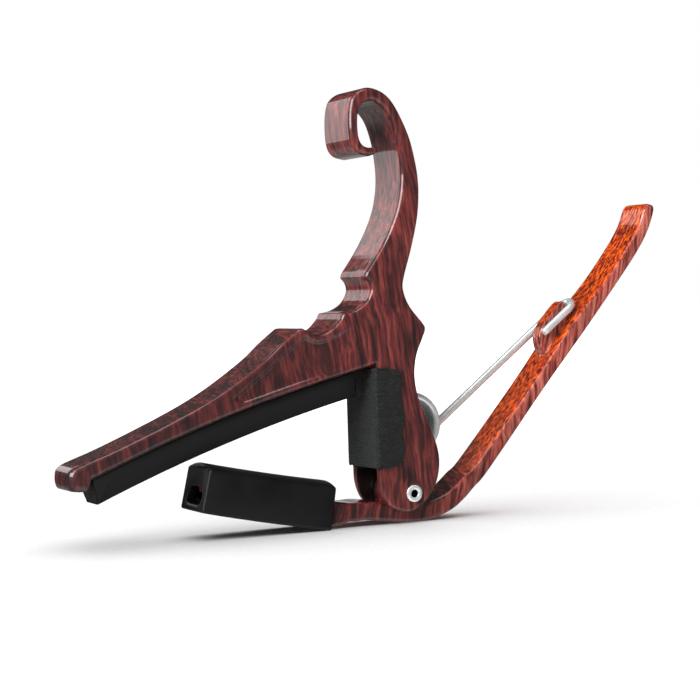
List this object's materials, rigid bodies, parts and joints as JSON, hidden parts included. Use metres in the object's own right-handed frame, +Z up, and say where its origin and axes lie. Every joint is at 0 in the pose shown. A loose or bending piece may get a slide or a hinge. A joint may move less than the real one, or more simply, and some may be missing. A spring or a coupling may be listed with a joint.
{
  "type": "guitar capo",
  "caption": "Quick-change guitar capo: a cast frame with a padded fretting bar and a curled tail, and a sprung lever with a rubber-sleeved jaw.",
  "frame": {"origin": "centre of the bounding box's bottom face, on the surface that the capo stands on", "axes": "+X from the fretting bar's tip towards the handle, +Y along the pivot rivet, +Z up"},
  "size_m": [0.1228, 0.0132, 0.0813],
  "materials": {
    "lacquered_casting": "wood-grain film under gloss lacquer",
    "lever_casting": "wood-grain film under gloss lacquer",
    "spring_wire": "bright nickel-plated music wire",
    "rivet_steel": "bright nickel-plated steel",
    "pad_rubber": "matte",
    "sleeve_rubber": "satin",
    "woven_fabric": "ribbed weave",
    "adhesive": "transfer adhesive film"
  },
  "bodies": {
    "frame": {"frame": "lacquered_casting", "pivot_rivet": "rivet_steel", "fretting_pad": "pad_rubber", "fretting_pad_adhesive": "adhesive", "side_pad": "woven_fabric", "side_pad_adhesive": "adhesive"},
    "lever": {"lever": "lever_casting", "jaw_sleeve": "sleeve_rubber"},
    "spring": {"torsion_spring": "spring_wire"}
  },
  "joints": [
    {"name": "lever_pivot", "type": "hinge", "parent": "frame", "child": "lever", "pos_m": [0.00502, 0, 0.00556], "axis": [0, -1, 0], "range_deg": [0, 38], "stiffness_Nm_per_rad": 1.1, "springref_deg": -45.84},
    {"name": "spring_leg", "type": "hinge", "parent": "frame", "child": "spring", "pos_m": [0.00692, 0, 0.01841], "axis": [0, -1, 0], "range_deg": [0, 49.5], "deforming": ["torsion_spring"]}
  ],
  "couplings": [
    {"joint": "spring_leg", "follows": "lever_pivot", "ratio": 1.3}
  ]
}
